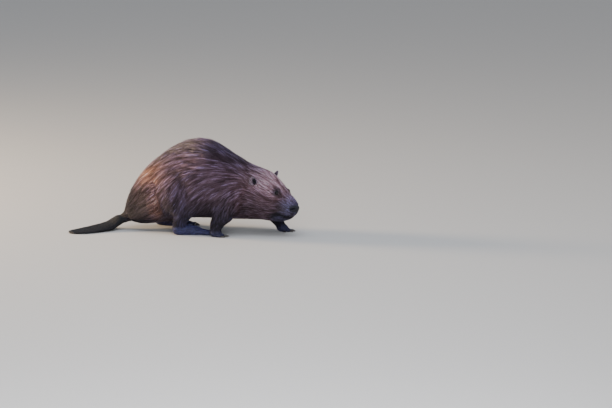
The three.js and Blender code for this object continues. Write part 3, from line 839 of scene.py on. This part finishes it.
def markings(co, normal, tint, kind, lids):
    # the belly and low flanks darker with painted shade, the top darker and bluer with painted shade and
    # sky light, the flanks paler with painted light, the lower rear darker with painted shade, the
    # forehead palest, the rump rusty with painted sunlight over it, the eyes and ears marked, and the
    # ear's front paler with painted light
    at = onHead(co) / mm
    furry = ~np.isin(kind, [*nakedParts, "nose"])
    # painted shade under the body, darker towards the floor
    mark = marks["belly"]
    low = 1 - gentle((co[:, 2] - mark["below"]) / mark["fade"])
    tint = tint * (1 - mark["darker"] * low * furry)[:, None]
    # painted shade and painted blue sky light on up-facing fur
    top = gentle((normal[:, 2] - 0.1) / 0.9) * furry
    tint = tint * (1 - top[:, None] * np.array(marks["back"]["darker"]))
    # painted light on the side-facing flanks
    mark = marks["flank"]
    side = gentle((co[:, 2] - mark["above"]) / mark["fade"]) * gentle((0.9 - normal[:, 2]) / 0.5) * furry
    tint = tint * (1 + side[:, None] * np.array(mark["paler"]))
    # painted shade on the lower rear of the rump
    mark = marks["rear"]
    rear = gentle((mark["behind"] - co[:, 0]) / 0.024) * gentle((mark["below"] - co[:, 2]) / 0.03) * furry
    tint = tint * (1 - mark["darker"] * rear)[:, None]
    mark = marks["forehead"]
    brow = hump(at[:, 0], mark["middle"], mark["half"]) * gentle((at[:, 2] - 2) / 22) * furry
    tint = dyed(tint, brow * mark["share"], mark["tint"])
    x, z = (co[:, [0, 2]] / mm).T
    # reddish-brown rump, mostly painted dappled sunlight on the rump and behind the thigh
    mark, strip = marks["rustAndPaintedSun"], marks["rustAndPaintedSunBehindThigh"]
    rustAndPaintedSun = hump(fromMiddle(x, z, mark), 0, 1) + strip["share"] * hump(fromMiddle(x, z, strip), 0, 1)
    rustAndPaintedSun = np.clip(rustAndPaintedSun * (0.75 + 0.5 * ripple(co, 0.035, 12)), 0, 1)
    rustAndPaintedSun *= gentle((0.95 - normal[:, 2]) / 0.3) * furry
    rustAndPaintedSun *= mark["right"] - (mark["right"] - mark["left"]) * gentle((co[:, 1] + 0.02) / 0.04)
    tint = dyed(tint, rustAndPaintedSun, mark["tint"])
    for side, sign in sides.items():
        out, ahead, up = ((co - np.array(boxMiddle(f"eye_{side}"))) @ eyeAxes(sign).T / mm).T
        dark = hump(fromMiddle(ahead, up, marks["roundEye"]), 0, 1, 4) * (out > -15)
        tint *= (1 - marks["roundEye"]["darker"] * dark)[:, None]
    share, tall, broad, face = earLeaf(at)
    mark = marks["ear"]
    onEar = gentle(share / 0.5) * (kind == "ear")
    facing = ((normal @ headAxes.T) * face).sum(1)
    inside = gentle((facing + 0.1) / 0.5) * gentle((1 - fromMiddle(broad, tall, marks["inEar"])) / 0.45)
    tint = dyed(tint, onEar * mark["share"], mark["back"])
    # painted light: the ear's front is paler
    tint = dyed(tint, onEar * gentle((facing + 0.5) / 0.6) * mark["share"], mark["front"])
    tint = dyed(tint, onEar * inside, mark["inside"])
    tint = dyed(tint, lids, marks["lids"]["tint"])
    return tint * (1 + 0.1 * ripple(co, 0.06, 9))[:, None]


coatSettings = {
    "tufts": 146000,
    "perPiece": 19900,
    "patch": 0.003,  # size of a tuft's place on the OFBake map
    "lockSize": 5.8,  # mm from one lock to the next across the body's coat
    "lockStretch": 4.2,  # and how many times as long a lock is
    "lockAxes": ((1, 0, 0), (1, -0.38, -0.4), (1, 0, 1), (1, 0, -1), (0, 0, 1), (0, 1, 0)),
    "pulls": (0.5, 1.3),  # how far tufts lean to their lock's leader, in the coat table's shares
    "fullPull": 0.85,
    "mostPull": 5,  # mm that a tip leans sideways into its lock
    "shadeShares": (0.42, 0.18, 0.85),  # of the lock, of the tuft itself and of the painted shade at the lock's edge
    "pale": 0.814,
    "lengths": (0.75, 1.2),  # the shortest and longest tufts, as multiples of the coat table's length
    "widths": (0.7, 1.3),
    "bend": 0.45,  # where a tuft has its middle, along its length
    "middles": (0.55, 0.8),  # how high middles stand, and tips, as shares of the coat's depth
    "tips": (0.72, 1.0),
    "longHairs": (0.97, 0.12),  # the share of tufts that keep to this, and how far the others pass it
    "stray": 0.1,
    "sway": 0.035,
    "thick": (0.4, 0.32),  # at the root and in the middle, as shares of the width
    "narrower": 0.85,  # in the middle
    "soften": {"sizes": 25, "tint": 110, "lie": 60, "cap": 60, "room": 4},  # rounds between neighbours
    "quick": {"fewer": 4, "wider": 1.6},
    "rooted": 0.3,  # mm that a root lies under the skin
    "proud": 0.8,  # mm that the body's coat may stand past the solids
    "mapMargin": 0.01,
}


def unwrapped(skin):
    # a coarse copy of the skin, unwrapped, that says where on the map each root lies
    mesh = skin.data.copy()
    copy = bpy.data.objects.new("unwrap", mesh)
    bpy.context.scene.collection.objects.link(copy)
    thinner = copy.modifiers.new("thinner", "DECIMATE")
    thinner.ratio = 0.12
    mesh = applied(copy)
    bpy.ops.object.select_all(action="DESELECT")
    copy.select_set(True)
    bpy.context.view_layer.objects.active = copy
    bpy.ops.object.mode_set(mode="EDIT")
    bpy.ops.mesh.select_all(action="SELECT")
    bpy.ops.uv.smart_project(angle_limit=1.15, island_margin=0.004, scale_to_bounds=True)
    bpy.ops.object.mode_set(mode="OBJECT")
    mesh = copy.data
    triangles = trianglesOf(mesh)
    corners = np.empty(len(mesh.loop_triangles) * 3, np.int32)
    mesh.loop_triangles.foreach_get("loops", corners)
    uv = np.empty(len(mesh.loops) * 2, np.float32)
    mesh.uv_layers.active.uv.foreach_get("vector", uv)
    uv = uv.reshape(-1, 2)[corners.reshape(-1, 3)]
    co = places(mesh)
    bpy.data.objects.remove(copy)
    return co, triangles, uv


def weightsIn(points, corners):
    # each point's share of the three corners of its triangle
    a, b, c = (corners[:, k] for k in range(3))
    v0, v1, v2 = b - a, c - a, points - a
    d00, d01, d11 = (v0 * v0).sum(1), (v0 * v1).sum(1), (v1 * v1).sum(1)
    d20, d21 = (v2 * v0).sum(1), (v2 * v1).sum(1)
    ground = np.maximum(d00 * d11 - d01 * d01, 1e-20)
    v = np.clip((d11 * d20 - d01 * d21) / ground, 0, 1)
    w = np.clip((d00 * d21 - d01 * d20) / ground, 0, 1 - v)
    return np.stack([1 - v - w, v, w], 1)


class Surface:
    # finds the nearest place of the skin and reads its fields there
    def __init__(self, field):
        self.field = field
        self.triangles = field["triangles"]
        self.tree = BVHTree.FromPolygons(field["co"].tolist(), self.triangles.tolist())

    def nearest(self, points):
        place, face, _ = nearest(self.tree, points)
        corner = self.triangles[face]
        return place, corner, weightsIn(place, self.field["co"][corner])

    def read(self, key, corner, share):
        values = self.field[key][corner]
        if values.ndim == 2:
            return (values * share).sum(1)
        return (values * share[:, :, None]).sum(1)


def scatter(field, total):
    # roots spread evenly by the crowd of each place: triangles by area, then a place in each
    co, triangles = field["co"], field["triangles"]
    a, b, c = (co[triangles[:, k]] for k in range(3))
    area = np.linalg.norm(np.cross(b - a, c - a), axis=1) / 2
    crowd = field["crowd"][triangles].mean(1) * 1e4
    heap = np.cumsum(area * crowd)
    count = int(min(total, heap[-1]))
    print("tufts wanted:", int(heap[-1]), "made:", count)
    pick = (np.arange(count) + dice.uniform(0, 1, count)) * heap[-1] / count
    face = np.searchsorted(heap, pick)
    u, v = dice.uniform(0, 1, (2, count))
    flip = u + v > 1
    u[flip], v[flip] = 1 - u[flip], 1 - v[flip]
    return triangles[face], np.stack([1 - u - v, u, v], 1)


def leadersOf(root, lie, inLock):
    # each tuft's nearest leader, where the locks are long in the way that the coat lies
    leaders = np.nonzero(dice.uniform(0, 1, len(root)) < 1 / np.maximum(inLock, 1))[0]
    axes = unit(np.array(coatSettings["lockAxes"], float))
    facing = np.argmax(np.abs(lie @ axes.T), axis=1)
    chief = np.zeros(len(root), int)
    for k, axis in enumerate(axes):
        squeezed = root - (root @ axis)[:, None] * axis * (1 - 1 / coatSettings["lockStretch"])
        tree = KDTree(len(leaders))
        for leader in leaders.tolist():
            tree.insert(squeezed[leader].tolist(), leader)
        tree.balance()
        chosen = np.nonzero(facing == k)[0]
        chief[chosen] = [tree.find(place)[1] for place in squeezed[chosen].tolist()]
    return chief


def combed(surface, total):
    # each tuft: root, middle and tip over the skin, with its width, shade and tint
    field = surface.field
    corner, share = scatter(field, total)

    def read(key):
        return surface.read(key, corner, share)

    root, normal, lie = read("co"), unit(read("normal")), unit(read("lie"))
    count = len(root)
    length = read("length") * mm * dice.uniform(*coatSettings["lengths"], count)
    width = read("width") * mm * dice.uniform(*coatSettings["widths"], count)
    stray = dice.normal(0, coatSettings["stray"], count)
    lie = unit(lie + np.cross(normal, lie) * stray[:, None])

    bend = coatSettings["bend"]
    place, c1, s1 = surface.nearest(root + lie * (length * bend)[:, None])
    normal1, lie1 = unit(surface.read("normal", c1, s1)), unit(surface.read("lie", c1, s1))
    room1 = surface.read("room", c1, s1)
    lift = dice.uniform(*coatSettings["middles"], count)
    sway = dice.normal(0, coatSettings["sway"], count) * length
    middle = place + normal1 * (room1 * lift)[:, None] + np.cross(normal, lie) * sway[:, None]
    forward = unit(squareTo(normal1, unit(lie1 + lie * 0.6)))
    place, c2, s2 = surface.nearest(place + forward * (length * (1 - bend))[:, None])
    normal2 = unit(surface.read("normal", c2, s2))
    room2 = surface.read("room", c2, s2)
    usual, farther = coatSettings["longHairs"]
    height = dice.uniform(*coatSettings["tips"], count) + farther * (dice.uniform(0, 1, count) > usual)
    tip = place + normal2 * (room2 * height)[:, None]

    # neighbours lean sideways to the leader of their lock, and are darker away from it, painted shade in
    # the gaps between locks
    wide = coatSettings["lockSize"] * np.clip(read("length") / 34, 0.1, 1.2) ** 0.7 / 10
    chief = leadersOf(root, lie, read("crowd") * wide**2 * coatSettings["lockStretch"])
    pull = np.clip(read("lock") * dice.uniform(*coatSettings["pulls"], count), 0, coatSettings["fullPull"])
    edge = np.zeros(count)
    for spot, strength in ((tip, 1.0), (middle, 0.4)):
        aside = squareTo(lie, spot[chief] - spot)
        edge += np.clip(np.linalg.norm(aside, axis=1) / (wide * 5.5 * mm), 0, 1) / 2
        most = coatSettings["mostPull"] * mm
        aside *= np.minimum(1, most / np.maximum(np.linalg.norm(aside, axis=1), 1e-9))[:, None]
        spot += aside * (pull * strength)[:, None]
    lockShade = dice.uniform(0, 1, count)[chief]
    byLock, byHair, byEdgeShade = coatSettings["shadeShares"]
    # the lock's edge takes painted shade, as if the gaps between locks lay in shadow
    shade = byLock * lockShade + byHair * dice.uniform(0, 1, count) - byEdgeShade * edge + coatSettings["pale"]
    middle[:, 2] = np.maximum(middle[:, 2], 0.8 * mm)  # nothing reaches through the floor
    tip[:, 2] = np.maximum(tip[:, 2], 0.4 * mm)
    return {"root": root - normal * coatSettings["rooted"] * mm, "middle": middle, "tip": tip,
            "normal": normal, "middleNormal": normal1, "width": width, "shade": np.clip(shade, 0, 1),
            "tint": read("tint"), "part": field["parts"][corner[:, 0]]}


def tuftMesh(name, t, uv):
    # one closed lock of hair each: a triangle at the root, one in the middle and a point
    count = len(t["root"])

    def ring(place, axis, normal, width, thick):
        axis = unit(axis)
        up = unit(squareTo(axis, normal))
        across = np.cross(axis, up)
        half = across * (width / 2)[:, None]
        return np.stack([place + up * thick[:, None], place + half, place - half], 1)

    wide = t["width"]
    thickRoot, thickMiddle = coatSettings["thick"]
    lower = ring(t["root"], t["middle"] - t["root"], t["normal"], wide, wide * thickRoot)
    upper = ring(t["middle"], t["tip"] - t["root"], t["middleNormal"], wide * coatSettings["narrower"],
                 wide * thickMiddle)
    co = np.concatenate([lower, upper, t["tip"][:, None]], 1)
    faces = [(0, 2, 1)]
    for i, j in ((0, 1), (1, 2), (2, 0)):
        faces += [(i, j, 3 + j), (i, 3 + j, 3 + i), (3 + i, 3 + j, 6)]
    faces = np.array(faces)
    index = (np.arange(count)[:, None, None] * 7 + faces).ravel()
    mesh = bpy.data.meshes.new(name)
    mesh.vertices.add(count * 7)
    mesh.vertices.foreach_set("co", co.astype(np.float32).ravel())
    mesh.loops.add(len(index))
    mesh.loops.foreach_set("vertex_index", index.astype(np.int32))
    mesh.polygons.add(count * len(faces))
    mesh.polygons.foreach_set("loop_start", np.arange(0, len(index), 3, dtype=np.int32))
    mesh.update(calc_edges=True)

    spots = [(0.1, 0.0), (0.2, 0.0), (0.1, 0.06)]  # the root's own little face
    for i in range(3):
        left, right, centre = i / 3, (i + 1) / 3, (i + 0.5) / 3
        spots += [(left, 0.08), (right, 0.08), (right, 0.55), (left, 0.08), (right, 0.55), (left, 0.55)]
        spots += [(left, 0.55), (right, 0.55), (centre, 1.0)]
    spots = (np.array(spots) - 0.5) * coatSettings["patch"]
    layer = mesh.uv_layers.new(name="OFBake")
    layer.uv.foreach_set("vector", (uv[:, None] + spots).astype(np.float32).ravel())
    setAttribute(mesh, "along", np.tile([0, 0, 0, 0.55, 0.55, 0.55, 1.0], count))
    setAttribute(mesh, "shade", np.repeat(t["shade"], 7))
    setAttribute(mesh, "tint", np.repeat(t["tint"], 7, axis=0))
    return mesh


coatZones = {"tail_base": "Rump", "rump": "Rump", "trunk": "Back", "shoulders": "Front", "neck": "Front",
             "head": "Head", "thigh": "Hips", "upper_arm": "Arms"}


def makeCoat(skin, field):
    surface = Surface(field)
    total = coatSettings["tufts"] // 1
    tufts = combed(surface, total)
    mapCo, mapTriangles, mapUv = unwrapped(skin)
    tree = BVHTree.FromPolygons(mapCo.tolist(), mapTriangles.tolist())
    place, face, _ = nearest(tree, tufts["root"])
    uv = (mapUv[face] * weightsIn(place, mapCo[mapTriangles[face]])[:, :, None]).sum(1)
    margin = coatSettings["mapMargin"]
    uv = margin + uv * (1 - 2 * margin)

    groups = {}
    for part in np.unique(tufts["part"]):
        groups.setdefault(coatZones.get(flesh[part], "Small"), []).append(part)
    fur = furMaterial()
    for zone, members in groups.items():
        chosen = np.nonzero(np.isin(tufts["part"], members))[0]
        pieces = math.ceil(len(chosen) / coatSettings["perPiece"])
        order = np.argsort(tufts["root"][chosen, 1], kind="stable")
        for n, share in enumerate(np.array_split(chosen[order], pieces)):
            name = f"coat{zone}{n + 1}"
            part = {key: value[share] for key, value in tufts.items()}
            newObject(name, tuftMesh(name, part, uv[share]), fur, "fur")
            print(name, len(share), "tufts")


cornea = {"from": 0.72, "rise": 0.35}  # share of the ball's radius, and mm


def makeEyes():
    glass = eyeMaterial()
    for side, sign in sides.items():
        shape = bmesh.new()
        bmesh.ops.create_uvsphere(shape, u_segments=40, v_segments=24, radius=eyeRadius)
        out = Vector(eyeAxes(sign)[0])
        turn = Vector((0, 0, 1)).rotation_difference(out).to_matrix()
        bmesh.ops.rotate(shape, verts=shape.verts, matrix=turn)
        ring = []
        for vertex in shape.verts:
            height = vertex.co.dot(out) / eyeRadius
            wide = (vertex.co - out * vertex.co.dot(out)).length / eyeRadius
            ring.append(wide if height > 0 else 1.0)
            bulge = max(0.0, (height - cornea["from"]) / (1 - cornea["from"]))
            vertex.co += out * bulge**1.5 * cornea["rise"] * mm
        bmesh.ops.translate(shape, verts=shape.verts, vec=boxMiddle(f"eye_{side}"))
        mesh = meshFrom(shape, f"eyeball_{side}")
        setAttribute(mesh, "ring", ring)
        piece = newObject(f"eyeball_{side}", mesh, glass, "eye")
        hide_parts(f"eye_{side}")


clawSettings = {"root": 6 * mm, "levels": 2}


def makeClaws():
    horn = hornMaterial()
    for name in sorted(nodes):
        if "_claw_" not in name:
            continue
        shape = bmesh.new()
        shape.from_mesh(nodes[name].data)
        bmesh.ops.remove_doubles(shape, verts=shape.verts, dist=1e-6)
        co = np.array([v.co for v in shape.verts])
        middle = co.mean(0)
        axis = np.linalg.svd(co - middle)[2][0]
        along = (co - middle) @ axis
        girth = np.linalg.norm(co - middle - along[:, None] * axis, axis=1)
        if girth[along > 0].mean() > girth[along < 0].mean():
            axis, along = -axis, -along
        axis = Vector(axis)
        root = along.min()
        behind = {v for v in shape.verts if (v.co - Vector(middle)).dot(axis) < root + 0.3 * mm}
        end = [f for f in shape.faces if behind.issuperset(f.verts)]
        pulled = bmesh.ops.extrude_face_region(shape, geom=end)["geom"]
        rim = [g for g in pulled if isinstance(g, bmesh.types.BMVert)]
        bmesh.ops.translate(shape, verts=rim, vec=-axis * clawSettings["root"])
        bmesh.ops.delete(shape, geom=end, context="FACES_ONLY")
        bmesh.ops.recalc_face_normals(shape, faces=shape.faces)
        piece = newObject(f"{name}_horn", meshFrom(shape, f"{name}_horn"), horn, "horn")
        smooth = piece.modifiers.new("smooth", "SUBSURF")
        smooth.levels = smooth.render_levels = clawSettings["levels"]
        mesh = applied(piece)
        co = places(mesh)
        share = (co - middle) @ np.array(axis)
        setAttribute(mesh, "along", (share - share.min()) / np.ptp(share))
        mesh.polygons.foreach_set("use_smooth", np.ones(len(mesh.polygons), bool))
        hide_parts(name)


tailSettings = {
    "root": (-196, -8),
    "length": 192,
    "startYaw": 28,
    "endYaw": 62,
    "long": 4.6,  # one scale, along the tail and across it
    "wide": 5.4,
    "rise": 0.55,
    "reach": 60,  # to each side of the tail's own line, more than its half width
    "tint": (23, 22, 26),
}


def addScale(shape, place, normal, heading):
    # a six-sided plate with sloping sides, a little sunk into the skin
    plate = bmesh.ops.create_circle(shape, cap_ends=True, segments=6, radius=0.5)["verts"]
    pulled = bmesh.ops.extrude_face_region(shape, geom=[plate[0].link_faces[0]])["geom"]
    top = [g for g in pulled if isinstance(g, bmesh.types.BMVert)]
    bmesh.ops.scale(shape, vec=(0.72, 0.72, 1), verts=top)
    bmesh.ops.translate(shape, vec=(0, 0, 1), verts=top)
    bmesh.ops.rotate(shape, verts=plate + top, matrix=Matrix.Rotation(math.pi / 6, 3, "Z"))
    along = (heading - normal * heading.dot(normal)).normalized()
    size = dice.uniform(0.92, 1.04) * 1.06 * mm
    axes = (along * tailSettings["long"] * size, normal.cross(along) * tailSettings["wide"] * size,
            normal * tailSettings["rise"] * mm)
    turned = Matrix(axes).transposed().to_4x4()
    turned.translation = place - normal * 0.12 * mm
    bmesh.ops.transform(shape, matrix=turned, verts=plate + top)


def makeScales(surface):
    steps = 200
    place = Vector((*tailSettings["root"], 0)) * mm + bodyMiddle
    line = []
    for n in range(steps + 1):
        turn = math.radians(tailSettings["startYaw"]
                            + (tailSettings["endYaw"] - tailSettings["startYaw"]) * n / steps)
        heading = Vector((-math.cos(turn), -math.sin(turn), 0))
        line.append((place.copy(), heading))
        place += heading * tailSettings["length"] * mm / steps
    long, wide = tailSettings["long"] * mm, tailSettings["wide"] * mm
    rows = int(tailSettings["length"] * mm / (long * 0.87))
    columns = int(tailSettings["reach"] * mm / wide)
    shape = bmesh.new()
    shades = []
    for below in (False, True):
        for row in range(rows):
            step = round(row * long * 0.87 / (tailSettings["length"] * mm) * steps)
            centre, heading = line[min(steps, step)]
            across = Vector((heading.y, -heading.x, 0))
            for col in range(-columns, columns + 1):
                offset = (col + 0.5 * (row % 2)) * wide
                start = centre + across * (offset + dice.normal(0, 0.25) * mm)
                start += heading * dice.normal(0, 0.2) * mm
                start.z = -0.05 if below else 0.2
                towards = Vector((0, 0, 1 if below else -1))
                hit, normal, face, _ = surface.tree.ray_cast(start, towards)
                if hit is None or hit.z > 0.06 or (below and hit.z < 3 * mm):
                    continue
                if flesh[surface.field["parts"][surface.triangles[face][0]]] != "tail":
                    continue
                if normal.z * (-1 if below else 1) < 0.25:
                    continue
                addScale(shape, hit, normal, heading)
                shades += [dice.uniform()] * (len(shape.verts) - len(shades))
    bmesh.ops.recalc_face_normals(shape, faces=shape.faces)
    mesh = meshFrom(shape, "tailScales")
    setAttribute(mesh, "shade", shades)
    setAttribute(mesh, "tint", np.tile(linear(*tailSettings["tint"]), (len(mesh.vertices), 1)))
    newObject("tailScales", mesh, scaleMaterial(), "tail_scales")
    mesh.polygons.foreach_set("use_smooth", np.zeros(len(mesh.polygons), bool))
    print("scales:", len(mesh.vertices) // 12)


# how many on each cheek, their sizes in mm, and where they root, from the middle of the nose
whiskers = {"each": 22, "length": (16, 40), "width": 0.42, "ahead": (-24, -6), "above": (-16, -2),
            "outside": 80, "tint": (70, 62, 60)}


def makeWhiskers(surface):
    roots, mids, tips, normals = [], [], [], []
    for side, sign in sides.items():
        for n in range(whiskers["each"]):
            ahead = dice.uniform(*whiskers["ahead"])
            up = dice.uniform(*whiskers["above"])
            guess = noseMiddle + headForward * ahead * mm + headUp * up * mm
            guess += headLeft * sign * whiskers["outside"] * mm
            hit, normal, _, _ = surface.tree.ray_cast(guess, -headLeft * sign)
            if hit is None:
                continue
            reach = dice.uniform(*whiskers["length"]) * mm
            way = (headLeft * sign * 0.8 - headForward * dice.uniform(0.5, 1.0)
                   + headUp * dice.uniform(-0.55, 0.15)).normalized()
            roots.append(hit - normal * 0.5 * mm)
            mids.append(hit + way * reach * 0.5)
            tips.append(hit + way * reach - headUp * reach * 0.16 - headForward * reach * 0.12)
            normals.append(normal)
    count = len(roots)
    t = {"root": np.array(roots), "middle": np.array(mids), "tip": np.array(tips),
         "normal": np.array(normals), "middleNormal": np.array(normals),
         "width": np.full(count, whiskers["width"] * mm),
         "shade": np.full(count, 0.5), "tint": np.tile(linear(*whiskers["tint"]), (count, 1))}
    spots = np.stack([(np.arange(count) % 8 + 0.5) / 8, (np.arange(count) // 8 + 0.5) / 8], 1)
    newObject("whiskers", tuftMesh("whiskers", t, spots), furMaterial(), "fur")


def makeFloor():
    shape = bmesh.new()
    bmesh.ops.create_grid(shape, x_segments=1, y_segments=1, size=14)
    newObject("floor", meshFrom(shape, "floor"), floorMaterial())


makeCamera()
makeLights()
makeFloor()
print("camera, lights and floor ready")
skin, outline, outlineParts = makeSkin()
field = growFields(skin, outline, outlineParts)
print("fields ready")
surface = Surface(field)
makeEyes()
makeClaws()
makeScales(surface)
makeWhiskers(surface)
print("eyes, claws, scales and whiskers ready")
makeCoat(skin, field)
print("coat ready")
